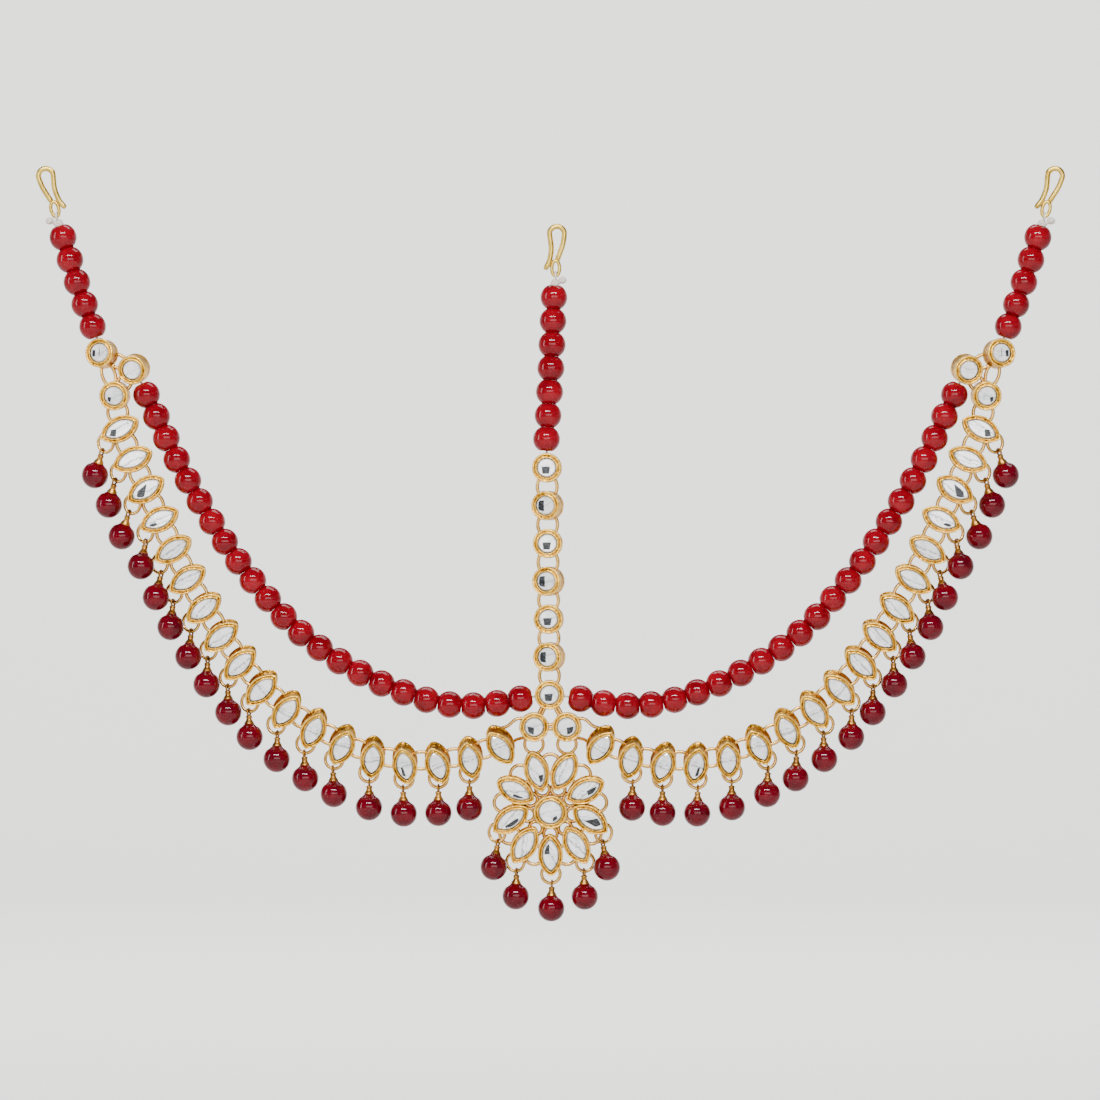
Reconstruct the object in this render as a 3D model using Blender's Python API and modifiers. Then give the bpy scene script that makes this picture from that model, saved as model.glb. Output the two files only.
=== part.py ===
"""A matha patti, a bridal head chain, as it hangs from its three hair hooks.

X runs to the right, Z up, and the front faces -Y. The origin is the inside of the
centre hook's bow. The left side is modelled, and the right side is its mirror image.
"""

import math

import bmesh
import bpy
from mathutils import Matrix, Vector
from mathutils.bvhtree import BVHTree

MM = 0.001
CLEARANCE = 0.3 * MM

# Settings: a gold cup with a foiled glass stone fused in it
SETTING_DEPTH = 4.0 * MM
ROUND_WIDTH = 6.8 * MM
ROSETTE_CENTRE_WIDTH = 7.8 * MM
MARQUISE_LENGTH = 10.0 * MM
MARQUISE_WIDTH = 5.8 * MM
RIM_WIDTH = 1.1 * MM
CROWN_WIDTH = 0.8 * MM
CROWN_HEIGHT = 0.6 * MM
ROUND_FACETS = 10
MARQUISE_FACETS = 8

# Wire, rings and thread
LINK_WIRE = 0.8 * MM
HOOK_WIRE = 1.0 * MM
HOOK_EYE_WIRE = 0.7 * MM
DROP_STEM_WIDTH = 0.7 * MM
STAPLE_WIRE = 0.6 * MM
THREAD_WIDTH = 0.5 * MM
KNOT_WIDTH = 2.2 * MM
RING_RADIUS = 2.15 * MM
RING_SEGMENTS = 10
WIRE_SIDES = 5
LINK_SPREAD = 2.05 * MM
LINK_SETBACK = 0.6 * MM
TAIL_STOP = 0.9 * MM
TAIL_STAPLE = 1.9 * MM
END_LINK_SEAT = -1.0 * MM
HINGE_BELOW_PAIR = 1.95 * MM

# Beads and drops
BEAD_WIDTH = 6.0 * MM
BEAD_PITCH = 5.45 * MM
BALL_WIDTH = 5.6 * MM
CAP_WIDTH = 2.6 * MM
CAP_HEIGHT = 1.7 * MM
CAP_BELOW_RING = 1.35 * MM
BALL_SIDES = 10
BALL_LATITUDES = (20, -35)
BEAD_PROFILE = ((-0.5, 0.3), (-0.24, 0.92), (0.24, 0.92))
DROP_MOST_LEAN = 40
DROPS_SLID_OUTWARD = 3

# The bands that run down each side of the forehead
BAND_SETTINGS = 18
BAND_PITCH = 7.57 * MM
BAND_LEAN = math.radians(27)
BAND_LEAN_FIRST = 3
BAND_LEAN_LAST = 12
RING_SEAT = 3.0 * MM
RING_SEAT_OUTWARD = 0.7 * MM
RING_SEAT_BACK = 1.3 * MM
RING_TURN = math.radians(36)

# The centre: a column of rounds, a pair below it and the rosette that hangs from the pair
COLUMN_SETTINGS = 7
COLUMN_PITCH = 8.7 * MM
PAIR_SPACING = 7.6 * MM
PAIR_BELOW_COLUMN = 7.4 * MM
ROSETTE_BELOW_PAIR = 19.4 * MM
ROSETTE_RADIUS = 10.0 * MM
ROSETTE_SQUASH = 0.93
ROSETTE_REST_LEAN = math.radians(5)
PETALS = 9
PETALS_WITH_DROPS = (7, 8, 0, 1, 2)

# Hooks
HOOK_BOW_RADIUS = 1.7 * MM
HOOK_EYE_RADII = (0.9 * MM, 1.75 * MM)
CENTRE_HOOK_OFFSET = 1.5 * MM
SIDE_HOOK_OUTWARD = 116.3 * MM
SIDE_HOOK_UP = 13.3 * MM
SIDE_HOOK_LEAN = math.radians(13)


def millimetres(*pairs):
    return [Vector((across * MM, 0, up * MM)) for across, up in pairs]


# Chosen points of the hanging chains and strings. On the left side the first number is
# how far out a point lies from the plane of symmetry, and on the centre line how far right.
HOOK_SHORT_LEG = millimetres((-2.75, -9.3), (-1.75, -7.3), (-1.3, -4.4))
HOOK_LONG_LEG = millimetres((1.35, -3.5), (0.6, -5.7), (0.05, -7.2))
HOOK_EYE_CENTRE = Vector((-0.3 * MM, 0, -9.0 * MM))
CENTRE_STRING_ROUTE = millimetres((0.8, -15.7), (0.1, -32.2), (-0.9, -48.3))
COLUMN_TOP = Vector((-0.8 * MM, 0, -54.9 * MM))
COLUMN_FOOT_SHIFT = 0.6 * MM
END_STRING_ROUTE = millimetres((112.1, -1.9), (108.9, -12.2), (105.3, -22.4))
END_ROUNDS = millimetres((103.2, -28.6), (95.8, -32.2), (100.2, -38.3))
SWAG_ROUTE = millimetres(
    (92.9, -38.1), (85.9, -53.1), (77.5, -67.9), (68.4, -80.9), (57.2, -93.1),
    (43.1, -102.5), (28.0, -108.4), (16.8, -109.6), (6.9, -108.0),
)
BAND_ROUTE = millimetres(
    (99.0, -46.0), (89.8, -66.9), (80.2, -86.2), (66.4, -105.5), (48.0, -118.4),
    (32.8, -122.8), (18.5, -121.4), (11.6, -118.6), (8.0, -116.6),
)
# How far each setting of the band, and each petal, is swayed from square to its chain
BAND_SWAY = (4, 0, 9, 1, 8, 6, 6, 6, 8, 2, 2, 8, 3, 12, 15, 9, -3, 6)
PETAL_SWAY = (2, -10, -26, -4, -8, -4, 2, 24, 8)

LEFT, RIGHT = -1, 1
TO_FRONT = Matrix.Rotation(math.pi / 2, 4, "X")


def clear_scene():
    for obj in list(bpy.data.objects):
        bpy.data.objects.remove(obj)


def metal_or_glass(name, colour, metallic, roughness):
    material = bpy.data.materials.new(name)
    material.use_nodes = True
    shader = material.node_tree.nodes["Principled BSDF"]
    shader.inputs["Base Color"].default_value = (*colour, 1)
    shader.inputs["Metallic"].default_value = metallic
    shader.inputs["Roughness"].default_value = roughness
    material.diffuse_color = (*colour, 1)
    return material


def collection(name):
    made = bpy.data.collections.new(name)
    bpy.context.scene.collection.children.link(made)
    return made


def mesh_of(bm):
    mesh = bpy.data.meshes.new("shape")
    bm.to_mesh(mesh)
    bm.free()
    return mesh


def evaluated_mesh(obj):
    """The object's finished mesh, with a curve's loose caps welded on. The object goes."""
    graph = bpy.context.evaluated_depsgraph_get()
    mesh = bpy.data.meshes.new_from_object(obj.evaluated_get(graph))
    bpy.data.objects.remove(obj)
    bm = bmesh.new()
    bm.from_mesh(mesh)
    bmesh.ops.remove_doubles(bm, verts=bm.verts, dist=0.001 * MM)
    bm.to_mesh(mesh)
    bm.free()
    return mesh


def helper(mesh_or_curve):
    """An object for making shapes with. It is no part of the jewel."""
    obj = bpy.data.objects.new("helper", mesh_or_curve)
    helpers.objects.link(obj)
    obj.hide_render = True
    obj.display_type = "WIRE"
    return obj


def line(points, closed=False, swell=None):
    """A curve of straight stretches, with `swell` scaling its section at each point."""
    curve = bpy.data.curves.new("line", "CURVE")
    curve.dimensions = "3D"
    spline = curve.splines.new("POLY")
    spline.points.add(len(points) - 1)
    for point, place, factor in zip(spline.points, points, swell or [1] * len(points)):
        point.co = (*place, 1)
        point.radius = factor
    spline.use_cyclic_u = closed
    return curve


def tube(points, width, sides=WIRE_SIDES, closed=False, swell=None):
    """A wire, thread or string of round section along the points."""
    turns = [math.tau * step / sides for step in range(sides)]
    corners = [Vector((math.cos(turn), math.sin(turn), 0)) * width / 2 for turn in turns]
    section = helper(line(corners, closed=True))
    curve = line(points, closed, swell)
    curve.bevel_mode = "OBJECT"
    curve.bevel_object = section
    curve.use_fill_caps = True
    mesh = evaluated_mesh(helper(curve))
    bpy.data.objects.remove(section)
    bm = bmesh.new()
    bm.from_mesh(mesh)
    bmesh.ops.recalc_face_normals(bm, faces=bm.faces)
    bm.to_mesh(mesh)
    bm.free()
    return mesh


def moved(mesh, matrix):
    mesh.transform(matrix)
    return mesh


def fused(shapes):
    """One closed mesh from overlapping ones."""
    joined = collection("joined")
    base = helper(shapes[0])
    for mesh in shapes[1:]:
        joined.objects.link(bpy.data.objects.new("shape", mesh))
    union = base.modifiers.new("Union", "BOOLEAN")
    union.operation = "UNION"
    union.operand_type = "COLLECTION"
    union.collection = joined
    union.solver = "EXACT"
    bpy.context.view_layer.update()
    mesh = evaluated_mesh(base)
    for obj in list(joined.objects):
        bpy.data.objects.remove(obj)
    bpy.data.collections.remove(joined)
    return mesh


def mirrored(mesh):
    copy = mesh.copy()
    copy.transform(Matrix.Scale(-1, 4, (1, 0, 0)))
    copy.flip_normals()
    return copy


def node(name, mesh, material, parent, matrix=None):
    """A finished piece of the jewel, with its own material, under its parent."""
    obj = bpy.data.objects.new(name, mesh)
    own = material.copy()
    own.name = name
    mesh.materials.clear()
    mesh.materials.append(own)
    mesh.shade_smooth()
    mesh.set_sharp_from_angle(angle=math.radians(35))
    parts.objects.link(obj)
    obj.parent = parent
    if matrix is not None:
        obj.matrix_local = matrix
    return obj


def empty(name, location, parent=None):
    obj = bpy.data.objects.new(name, None)
    parts.objects.link(obj)
    obj.parent = parent
    obj.location = location
    return obj


def smooth_path(points, samples=24):
    """Closely spaced points of a smooth curve that runs through the chosen ones."""
    ends = [2 * points[0] - points[1], *points, 2 * points[-1] - points[-2]]
    path = []
    for before, start, end, after in zip(ends, ends[1:], ends[2:], ends[3:]):
        for step in range(samples):
            t = step / samples
            path.append(
                (
                    2 * start
                    + (end - before) * t
                    + (2 * before - 5 * start + 4 * end - after) * t**2
                    + (3 * start - before - 3 * end + after) * t**3
                )
                / 2
            )
    return [*path, points[-1]]


def path_length(path):
    return sum((end - start).length for start, end in zip(path, path[1:]))


def point_along(path, distance):
    for start, end in zip(path, path[1:]):
        span = (end - start).length
        if distance <= span:
            return start.lerp(end, distance / span), (end - start).normalized()
        distance -= span
    way = (path[-1] - path[-2]).normalized()
    return path[-1] + way * distance, way


def on_left(points):
    return [Vector((-point.x, point.y, point.z)) for point in points]


def across(way):
    """Square to a direction in the plane of the jewel, a quarter turn anticlockwise."""
    return Vector((-way.z, 0, way.x))


def turned(angle):
    """Turns by an angle that is measured anticlockwise as seen from the front."""
    return Matrix.Rotation(-angle, 4, "Y")


def half_width(reach, length, width):
    """Half the width of a marquise, whose sides are two arcs, at `reach` from its middle."""
    arc = (length**2 + width**2) / (4 * width)
    return math.sqrt(arc**2 - reach**2) - arc + width / 2


def marquise_outline(x, y):
    """The point of the marquise's edge for a point of the unit circle."""
    reach = MARQUISE_LENGTH / 2 * x
    side = half_width(reach, MARQUISE_LENGTH, MARQUISE_WIDTH)
    return reach, math.copysign(side, y)


def setting(kind, width=ROUND_WIDTH):
    """A cup with a raised stone: crown facets round a flat table. It faces -Y."""
    bm = bmesh.new()
    bmesh.ops.create_cone(
        bm, cap_ends=True, segments=MARQUISE_FACETS if kind == "marquise" else ROUND_FACETS,
        radius1=1, radius2=1, depth=SETTING_DEPTH,
    )
    for vert in bm.verts:
        if kind == "marquise":
            vert.co.x, vert.co.y = marquise_outline(vert.co.x, vert.co.y)
        else:
            vert.co.xy *= width / 2
    front = max(bm.faces, key=lambda face: face.calc_center_median().z)
    bmesh.ops.inset_region(bm, faces=[front], thickness=RIM_WIDTH, use_even_offset=True)
    bmesh.ops.inset_region(
        bm, faces=[front], thickness=CROWN_WIDTH, depth=CROWN_HEIGHT, use_even_offset=True
    )
    return moved(mesh_of(bm), TO_FRONT)


def rod(start, end, width):
    bm = bmesh.new()
    bmesh.ops.create_cone(
        bm, cap_ends=True, segments=WIRE_SIDES, radius1=width / 2, radius2=width / 2,
        depth=(end - start).length,
    )
    turn = (end - start).to_track_quat("Z", "Y").to_matrix().to_4x4()
    return moved(mesh_of(bm), Matrix.Translation((start + end) / 2) @ turn)


def link(first, second):
    """The wire link between the middles of two settings."""
    setback = Vector((0, LINK_SETBACK, 0))
    return rod(first + setback, second + setback, LINK_WIRE)


def ring(matrix, radius=RING_RADIUS, wire=LINK_WIRE, segments=RING_SEGMENTS):
    """A jump ring that stands in the plane of the jewel before `matrix` places it."""
    bpy.ops.mesh.primitive_torus_add(
        major_radius=radius, minor_radius=wire / 2,
        major_segments=segments, minor_segments=WIRE_SIDES,
    )
    obj = bpy.context.object
    mesh = obj.data
    bpy.data.objects.remove(obj)
    return moved(mesh, matrix @ TO_FRONT)


def back_height(wire):
    """How far behind a setting's middle a wire of this width runs clear of its back."""
    return SETTING_DEPTH / 2 + CLEARANCE + wire / 2


def staple(point, way, held_wire, frame=None):
    """A wire staple on a setting's back, which holds a wire that runs through `point`."""
    gap = held_wire / 2 + CLEARANCE + STAPLE_WIRE / 2
    side = across(way) * gap
    root = Vector((0, SETTING_DEPTH / 2 - STAPLE_WIRE, 0))
    crest = Vector((0, back_height(held_wire) + gap, 0))
    flat = Vector((point.x, 0, point.z))
    points = [flat + side + root, flat + side + crest, flat - side + crest, flat - side + root]
    mesh = tube(points, STAPLE_WIRE)
    return moved(mesh, frame) if frame else mesh


def band_frames():
    """The place of each marquise of the left band, with its own long axis along X."""
    path = smooth_path(on_left(BAND_ROUTE))
    frames = []
    for index in range(BAND_SETTINGS):
        place, way = point_along(path, index * BAND_PITCH)
        angle = math.atan2(way.z, way.x) + math.pi / 2 + math.radians(BAND_SWAY[index])
        share = (index - BAND_LEAN_FIRST) / (BAND_LEAN_LAST - BAND_LEAN_FIRST)
        lean = Matrix.Rotation(BAND_LEAN * min(1, max(0, share)), 4, "X")
        frames.append(Matrix.Translation(place) @ lean @ turned(angle))
    return frames


def ring_frame(frame):
    """The ring that hangs behind the outer tip of a marquise, turned a little sideways."""
    seat = frame @ Vector((-RING_SEAT, RING_SEAT_BACK, 0))
    flatness = (frame.to_3x3() @ Vector((1, 0, 0))).x
    outward = math.copysign(min(1, abs(seat.x) / ROSETTE_RADIUS), seat.x)
    hung = Vector((outward * RING_SEAT_OUTWARD, 0, LINK_WIRE / 2 - RING_RADIUS))
    turn = Matrix.Rotation(RING_TURN * abs(flatness) * math.copysign(1, outward), 4, "Z")
    return Matrix.Translation(seat + hung) @ turn


def ball_middle():
    """How far below the wire that it hangs on the middle of a drop's ball lies."""
    return CAP_BELOW_RING + CAP_HEIGHT + math.sqrt(BALL_WIDTH**2 - CAP_WIDTH**2) / 2


def drop_mesh(stem):
    """A glass ball under a cap, on a stem that rises this far above the origin."""
    profile = [
        (0, stem),
        (DROP_STEM_WIDTH / 2, stem),
        (DROP_STEM_WIDTH / 2, -CAP_BELOW_RING),
        (CAP_WIDTH / 2, -CAP_BELOW_RING - CAP_HEIGHT),
    ]
    for degrees in BALL_LATITUDES:
        turn = math.radians(degrees)
        reach = BALL_WIDTH / 2 * math.cos(turn)
        profile.append((reach, BALL_WIDTH / 2 * math.sin(turn) - ball_middle()))
    profile.append((0, -BALL_WIDTH / 2 - ball_middle()))
    bm = bmesh.new()
    verts = [bm.verts.new((reach, 0, up)) for reach, up in profile]
    for start, end in zip(verts, verts[1:]):
        bm.edges.new((start, end))
    obj = helper(mesh_of(bm))
    screw = obj.modifiers.new("Screw", "SCREW")
    screw.steps = BALL_SIDES
    screw.render_steps = BALL_SIDES
    screw.use_merge_vertices = True
    screw.merge_threshold = 0.001 * MM
    bpy.context.view_layer.update()
    return evaluated_mesh(obj)


def hanging(ring_place, outward, forward, side):
    """The drop's place on its ring when it leans by these angles."""
    slide = Matrix.Rotation(-outward * side, 4, "Y")
    down = Matrix.Translation((0, 0, -RING_RADIUS))
    return ring_place @ slide @ down @ Matrix.Rotation(-forward, 4, "X")


def stem_length(place, setting_place):
    """How far a drop's stem rises before it meets the underside of its setting."""
    surface = bmesh.new()
    surface.from_mesh(moved(setting("marquise"), setting_place))
    tree = BVHTree.FromBMesh(surface)
    surface.free()
    up = place.to_3x3() @ Vector((0, 0, 1))
    edge = DROP_STEM_WIDTH / 2
    starts = [(0, 0, 0), (edge, 0, 0), (-edge, 0, 0), (0, edge, 0), (0, -edge, 0)]
    hits = [tree.ray_cast(place @ Vector(start), up)[3] for start in starts]
    return min(hit for hit in hits if hit) - CLEARANCE


def ring_points(frame):
    turns = [math.tau * step / 24 for step in range(24)]
    return [
        frame @ Vector((RING_RADIUS * math.cos(turn), 0, RING_RADIUS * math.sin(turn)))
        for turn in turns
    ]


def edge_points(frame):
    turns = [math.tau * step / 24 for step in range(24)]
    return [
        frame @ Vector((x, depth * SETTING_DEPTH / 2, z))
        for x, z in (marquise_outline(math.cos(turn), math.sin(turn)) for turn in turns)
        for depth in (-1, -0.5, 0, 0.5, 1)
    ]


def drop_frame(own_ring, other_rings, settings, side, slid=False):
    """The straightest hang in which a drop's ball keeps clear of the other pieces.

    A drop that has slid along its ring leans outward first, and any other leans forward.
    """
    wires = [point for frame in other_rings for point in ring_points(frame)]
    edges = [point for frame in settings for point in edge_points(frame)]
    near = BALL_WIDTH / 2 + CLEARANCE
    middle = Vector((0, 0, -ball_middle()))
    for share in (0, 0.25, 0.5, 0.75, 1):
        for lean in range(0, DROP_MOST_LEAN, 2):
            first, second = math.radians(lean * (1 - share)), math.radians(lean * share)
            outward, forward = (first, second) if slid else (second, first)
            place = hanging(own_ring, outward, forward, side)
            centre = place @ middle
            wire_gap = min((centre - point).length for point in wires) - LINK_WIRE / 2
            edge_gap = min((centre - point).length for point in edges)
            if min(wire_gap, edge_gap) > near:
                return place
    print("no clear hang", [round(v / MM, 1) for v in own_ring.translation])
    return hanging(own_ring, 0, 0, side)


def beads_along(path):
    """The beads of a string, each swelling between two narrow waists on its thread."""
    count = round(path_length(path) / BEAD_PITCH) + 1
    pitch = path_length(path) / (count - 1)
    shares = [(bead + share, width) for bead in range(count) for share, width in BEAD_PROFILE]
    shares.append((count - 0.5, BEAD_PROFILE[0][1]))
    points = [along_beads(path, share * pitch) for share, _ in shares]
    return tube(points, BEAD_WIDTH, sides=BALL_SIDES, swell=[width for _, width in shares])


def loop_and_knot(eye_point, first_bead):
    """The thread that ties a string to a hook: a loop through the eye, and a knot."""
    way = (first_bead - eye_point).normalized()
    reach = HOOK_EYE_WIRE / 2 + CLEARANCE + THREAD_WIDTH / 2
    loop = Matrix.Translation(eye_point) @ Matrix.Rotation(math.pi / 2, 4, "Z")
    place = eye_point + way * (reach + (KNOT_WIDTH - THREAD_WIDTH) / 2)
    knot = bmesh.new()
    bmesh.ops.create_uvsphere(knot, u_segments=6, v_segments=4, radius=KNOT_WIDTH / 2)
    return [
        ring(loop, reach, THREAD_WIDTH),
        moved(mesh_of(knot), Matrix.Translation(place)),
        rod(place, first_bead, 2 * THREAD_WIDTH),
    ]


def along_beads(path, distance):
    if distance < 0:
        return path[0] + (path[0] - path[1]).normalized() * -distance
    return point_along(path, distance)[0]


def tail(end, target):
    """The thread from a string's last bead to the back of the setting that holds it."""
    inward = (target - end).normalized()
    back = Vector((0, back_height(THREAD_WIDTH), 0))
    corner = end + inward * BEAD_PITCH / 2 + back
    return tube([end, corner, target - inward * TAIL_STOP + back], THREAD_WIDTH)


def tail_staple(target, end):
    """The staple on a setting's back that holds a string's thread."""
    inward = (target - end).normalized()
    return staple(target - inward * TAIL_STAPLE, inward, THREAD_WIDTH)


def hook_mesh():
    """A bent wire hook whose bow's inside is the origin, with an eye at its foot."""
    middle = Vector((0, 0, HOOK_WIRE / 2 - HOOK_BOW_RADIUS))
    turns = [math.pi * (1 - step / 6) for step in range(7)]
    bow = [
        middle + HOOK_BOW_RADIUS * Vector((math.cos(turn), 0, math.sin(turn)))
        for turn in turns
    ]
    wire = tube([*HOOK_SHORT_LEG, *bow, *HOOK_LONG_LEG], HOOK_WIRE)
    wide, tall = HOOK_EYE_RADII
    turns = [math.tau * step / 10 for step in range(10)]
    eye = [
        HOOK_EYE_CENTRE + Vector((wide * math.cos(turn), 0, tall * math.sin(turn)))
        for turn in turns
    ]
    return fused([wire, tube(eye, HOOK_EYE_WIRE, closed=True)])


def eye_foot():
    """The middle of the wire at the lowest point of a hook's eye."""
    return HOOK_EYE_CENTRE - Vector((0, 0, HOOK_EYE_RADII[1] * math.cos(math.pi / 10)))


def column_places():
    foot = COLUMN_TOP + Vector(
        (COLUMN_FOOT_SHIFT, 0, -COLUMN_PITCH * (COLUMN_SETTINGS - 1))
    )
    steps = COLUMN_SETTINGS - 1
    return [COLUMN_TOP.lerp(foot, index / steps) for index in range(COLUMN_SETTINGS)]


def pair_places():
    foot = column_places()[-1]
    return [
        Vector((side * PAIR_SPACING / 2, 0, foot.z - PAIR_BELOW_COLUMN))
        for side in (LEFT, RIGHT)
    ]


def hinge_place():
    """The middle of the two staples that the rosette's rings hang in."""
    left, right = pair_places()
    return (left + right) / 2 + Vector((0, back_height(LINK_WIRE), -HINGE_BELOW_PAIR))


def end_link(last_frame, pair_place):
    """The wire loop that joins a band's last marquise to its round of the pair."""
    back = back_height(LINK_WIRE)
    inside = [
        last_frame @ Vector((reach, back, END_LINK_SEAT)) for reach in (LINK_SPREAD, -LINK_SPREAD)
    ]
    edge = [
        last_frame @ Vector((reach, back, -MARQUISE_WIDTH / 2 - CLEARANCE))
        for reach in (LINK_SPREAD, -LINK_SPREAD)
    ]
    way = (pair_place - last_frame.translation).normalized()
    root = [
        pair_place + across(way) * reach + Vector((0, LINK_SETBACK, 0))
        for reach in (LINK_SPREAD, -LINK_SPREAD)
    ]
    return tube([root[0], edge[0], inside[0], inside[1], edge[1], root[1]], LINK_WIRE)


def centre_chain(left_frames):
    column = column_places()
    pair = pair_places()
    shapes = [moved(setting("round"), Matrix.Translation(place)) for place in column + pair]
    for first, second in zip(column, column[1:]):
        shapes.append(link(first, second))
    for place in pair:
        shapes.append(link(column[-1], place))
        hinge = Vector((place.x, 0, hinge_place().z))
        shapes.append(staple(hinge, Vector((1, 0, 0)), LINK_WIRE))
    shapes.append(link(*pair))
    loop = end_link(left_frames[-1], pair[0])
    shapes += [loop, mirrored(loop)]
    shapes.append(tail_staple(column[0], CENTRE_STRING_ROUTE[-1]))
    swag_end = on_left(SWAG_ROUTE)[-1]
    shapes.append(tail_staple(column[-1], swag_end))
    shapes.append(tail_staple(column[-1], Vector((-swag_end.x, 0, swag_end.z))))
    return fused(shapes)


def left_band(frames):
    rounds = on_left(END_ROUNDS)
    top, inner, low = rounds
    shapes = [moved(setting("round"), Matrix.Translation(place)) for place in rounds]
    shapes += [link(top, inner), link(top, low), link(inner, low)]
    places = [low, *(frame.translation for frame in frames)]
    shapes += [link(first, second) for first, second in zip(places, places[1:])]
    shapes += [moved(setting("marquise"), frame) for frame in frames]
    shapes.append(tail_staple(top, on_left(END_STRING_ROUTE)[-1]))
    shapes.append(tail_staple(inner, on_left(SWAG_ROUTE)[0]))
    held = Vector((0, 0, END_LINK_SEAT))
    shapes.append(staple(held, Vector((1, 0, 0)), LINK_WIRE, frames[-1]))
    return fused(shapes)


def petal_frames():
    """The petals' places round the rosette's middle, each with its long axis along X."""
    frames = []
    for index in range(PETALS):
        turn = math.tau * index / PETALS - math.pi / 2
        place = Vector((ROSETTE_SQUASH * math.cos(turn), 0, math.sin(turn))) * ROSETTE_RADIUS
        sway = math.radians(PETAL_SWAY[index])
        frames.append(Matrix.Translation(place) @ turned(turn + math.pi + sway))
    return frames


def rosette(frames, hang_rings):
    middle = Vector((0, 0, 0))
    shapes = [moved(setting("marquise"), frame) for frame in frames]
    shapes.append(setting("round", ROSETTE_CENTRE_WIDTH))
    places = [frame.translation for frame in frames]
    for first, second in zip(places, places[1:] + places[:1]):
        shapes += [link(first, second), link(middle, first)]
    shapes += [ring(frame) for frame in hang_rings]
    return fused(shapes)


clear_scene()
parts = collection("Matha patti")
helpers = collection("Helpers")
gold = metal_or_glass("gold", (0.83, 0.58, 0.24), 1.0, 0.3)
pale_gold = metal_or_glass("pale gold", (0.86, 0.78, 0.5), 1.0, 0.35)
red_glass = metal_or_glass("red glass", (0.42, 0.005, 0.015), 0.0, 0.1)
dark_red_glass = metal_or_glass("dark red glass", (0.22, 0.004, 0.012), 0.0, 0.1)

headpiece = empty("headpiece", (-CENTRE_HOOK_OFFSET, 0, 0))

hook = hook_mesh()
node(
    "centre_hook", hook, pale_gold, headpiece,
    Matrix.Translation((CENTRE_HOOK_OFFSET, 0, 0)),
)
side_hook = mirrored(hook)
side_place = Vector((-SIDE_HOOK_OUTWARD, 0, SIDE_HOOK_UP))
side_turn = turned(SIDE_HOOK_LEAN)
node(
    "left_hook", side_hook, pale_gold, headpiece, Matrix.Translation(side_place) @ side_turn
)
node(
    "right_hook", mirrored(side_hook), pale_gold, headpiece,
    Matrix.Translation((SIDE_HOOK_OUTWARD, 0, SIDE_HOOK_UP)) @ turned(-SIDE_HOOK_LEAN),
)

frames = band_frames()
rings = [ring_frame(frame) for frame in frames[:-1]]
band = left_band(frames)
node("left_band", band, gold, headpiece)
node("right_band", mirrored(band), gold, headpiece)
node("centre_chain", centre_chain(frames), gold, headpiece)

centre_eye = eye_foot() + Vector((CENTRE_HOOK_OFFSET, 0, 0))
centre_path = smooth_path(CENTRE_STRING_ROUTE)
centre_string = [beads_along(centre_path), *loop_and_knot(centre_eye, centre_path[0])]
centre_string.append(tail(centre_path[-1], column_places()[0]))
node("centre_bead_string", fused(centre_string), red_glass, headpiece)

foot = eye_foot()
side_eye = side_place + side_turn.to_3x3() @ Vector((-foot.x, 0, foot.z))
end_path = smooth_path(on_left(END_STRING_ROUTE))
end_rounds = on_left(END_ROUNDS)
end_string = [beads_along(end_path), *loop_and_knot(side_eye, end_path[0])]
end_string = fused([*end_string, tail(end_path[-1], end_rounds[0])])
node("left_end_bead_string", end_string, red_glass, headpiece)
node("right_end_bead_string", mirrored(end_string), red_glass, headpiece)

swag_path = smooth_path(on_left(SWAG_ROUTE))
tails = [tail(swag_path[0], end_rounds[1]), tail(swag_path[-1], column_places()[-1])]
swag = fused([beads_along(swag_path), *tails])
node("left_swag_bead_string", swag, red_glass, headpiece)
node("right_swag_bead_string", mirrored(swag), red_glass, headpiece)

flip = Matrix.Scale(-1, 4, (1, 0, 0))
for index, own in enumerate(rings):
    others = [frame for frame in rings if frame is not own]
    place = drop_frame(own, others, frames, LEFT, slid=index < DROPS_SLID_OUTWARD)
    drop = drop_mesh(stem_length(place, frames[index]))
    name = f"drop_{index + 1:02d}"
    node(f"left_{name}", drop, dark_red_glass, headpiece, place)
    node(f"right_{name}", drop.copy(), dark_red_glass, headpiece, flip @ place @ flip)

hinge = hinge_place()
pivot = empty("rosette_pivot", hinge, headpiece)
pivot.rotation_euler.x = ROSETTE_REST_LEAN
rosette_middle = pair_places()[0].z - ROSETTE_BELOW_PAIR - hinge.z
rosette_depth = -SETTING_DEPTH / 2
petals = petal_frames()
petal_rings = [ring_frame(petals[index]) for index in PETALS_WITH_DROPS]
to_pivot = Matrix.Translation((0, rosette_depth, rosette_middle))
hang_rings = [
    to_pivot.inverted() @ Matrix.Translation((side * PAIR_SPACING / 2, 0, -RING_RADIUS))
    for side in (LEFT, RIGHT)
]
node("rosette", rosette(petals, hang_rings), gold, pivot, to_pivot)
for index, own in enumerate(petal_rings):
    others = [frame for frame in petal_rings if frame is not own]
    side = math.copysign(1, own.translation.x)
    place = drop_frame(own, others, petals, side)
    drop = drop_mesh(stem_length(place, petals[PETALS_WITH_DROPS[index]]))
    node(f"rosette_drop_{index + 1}", drop, dark_red_glass, pivot, to_pivot @ place)
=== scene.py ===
import math
import random

import bmesh
import bpy
from mathutils import Matrix, Vector


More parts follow.
